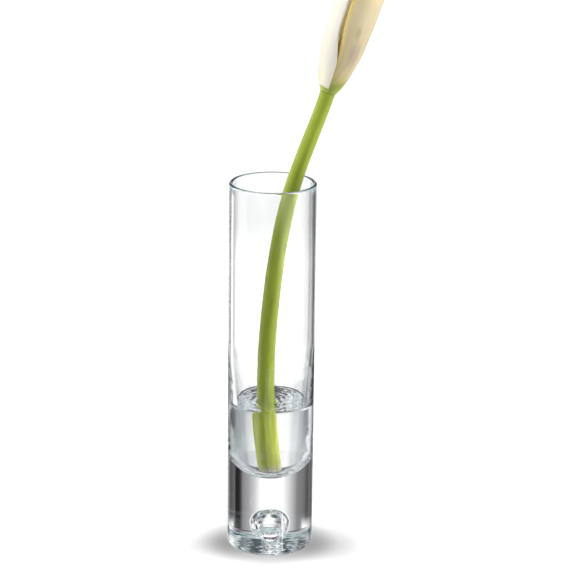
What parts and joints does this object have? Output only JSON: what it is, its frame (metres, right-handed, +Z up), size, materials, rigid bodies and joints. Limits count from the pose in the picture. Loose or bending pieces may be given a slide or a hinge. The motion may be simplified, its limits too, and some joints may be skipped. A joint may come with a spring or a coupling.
{
  "type": "glass bud vase",
  "caption": "Tall round clear glass bud vase with a thick solid base that seals an air bubble, part filled with water, holding a curved green stem with a rolled cream calla bloom.",
  "frame": {"origin": "centre of the vase's flat foot, on the surface it stands on", "axes": "+Z up along the vase's axis; -Y is the front, towards which the bloom's slit faces; +X is the side the bloom leans to"},
  "size_m": [0.0834, 0.0608, 0.329],
  "materials": {
    "glass": "clear, polished, faint blue-green at thick edges",
    "water": "clear still water",
    "stem": "smooth waxy fresh green",
    "petal": "soft satin cream petal",
    "spadix": "powdery yellow"
  },
  "bodies": {
    "vase": {"vase_body": "glass", "water": "water"},
    "flower": {"stem": "stem", "spathe": "petal", "spadix": "spadix"}
  },
  "joints": [
    {"name": "flower_lift", "type": "slide", "parent": "vase", "child": "flower", "axis": [0, 0, 1], "range_m": [0, 0.17], "deforming": ["water"]}
  ]
}
